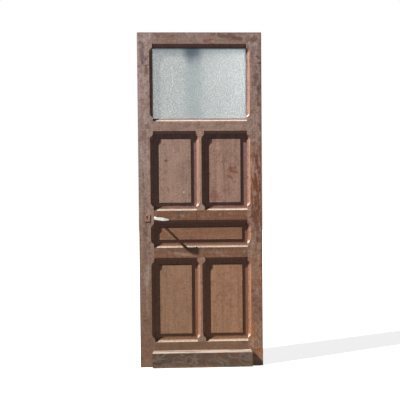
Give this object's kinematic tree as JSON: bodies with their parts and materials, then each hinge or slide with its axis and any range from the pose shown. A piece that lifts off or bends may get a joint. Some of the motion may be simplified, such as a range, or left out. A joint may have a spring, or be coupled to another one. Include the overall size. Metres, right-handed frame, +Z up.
{
  "type": "glazed panelled timber door leaf",
  "caption": "Weathered timber door leaf with a patterned glass light above raised panels, a stopped moulding, a lever handle, a keyhole plate and a weatherboard.",
  "frame": {"origin": "on the hinge edge of the leaf, at its foot and at the middle of its thickness", "axes": "+Z up along the hinge edge; +X out of the hinge edge, away from the leaf, so the lock edge is at x = -0.750; -Y out of the front, with the weatherboard, and +Y out of the back, with the hinges"},
  "size_m": [0.7585, 0.146, 2.03],
  "materials": {
    "frame_timber": "worn brown varnish",
    "panel_timber": "worn brown varnish",
    "bead_timber": "worn brown varnish",
    "weatherboard_timber": "dark worn varnish",
    "patterned_glass": "patterned, obscured",
    "steel": "dull, a little rusty",
    "plate_steel": "tarnished",
    "lever_aluminium": "polished, worn"
  },
  "bodies": {
    "leaf": {"lock_stile": "frame_timber", "hinge_stile": "frame_timber", "top_rail": "frame_timber", "frieze_rail": "frame_timber", "lock_rail": "frame_timber", "middle_rail": "frame_timber", "bottom_rail": "frame_timber", "upper_muntin": "frame_timber", "lower_muntin": "frame_timber", "upper_left_panel": "panel_timber", "upper_right_panel": "panel_timber", "lock_panel": "panel_timber", "lower_left_panel": "panel_timber", "lower_right_panel": "panel_timber", "glass_pane": "patterned_glass", "glazing_bead_top": "bead_timber", "glazing_bead_bottom": "bead_timber", "glazing_bead_left": "bead_timber", "glazing_bead_right": "bead_timber", "weatherboard": "weatherboard_timber", "front_escutcheon": "plate_steel", "back_escutcheon": "plate_steel", "lock_case": "steel", "lock_forend": "steel", "latch_bolt": "steel", "dead_bolt": "steel", "upper_hinge": "steel", "middle_hinge": "steel", "lower_hinge": "steel"},
    "handle": {"front_lever": "lever_aluminium", "back_lever": "lever_aluminium", "spindle": "steel"}
  },
  "joints": [
    {"name": "handle_turn", "type": "hinge", "parent": "leaf", "child": "handle", "pos_m": [-0.65, 0, 0.914], "axis": [0, 1, 0], "range_deg": [0, 45], "stiffness_Nm_per_rad": 1.2, "springref_deg": -20.05}
  ]
}
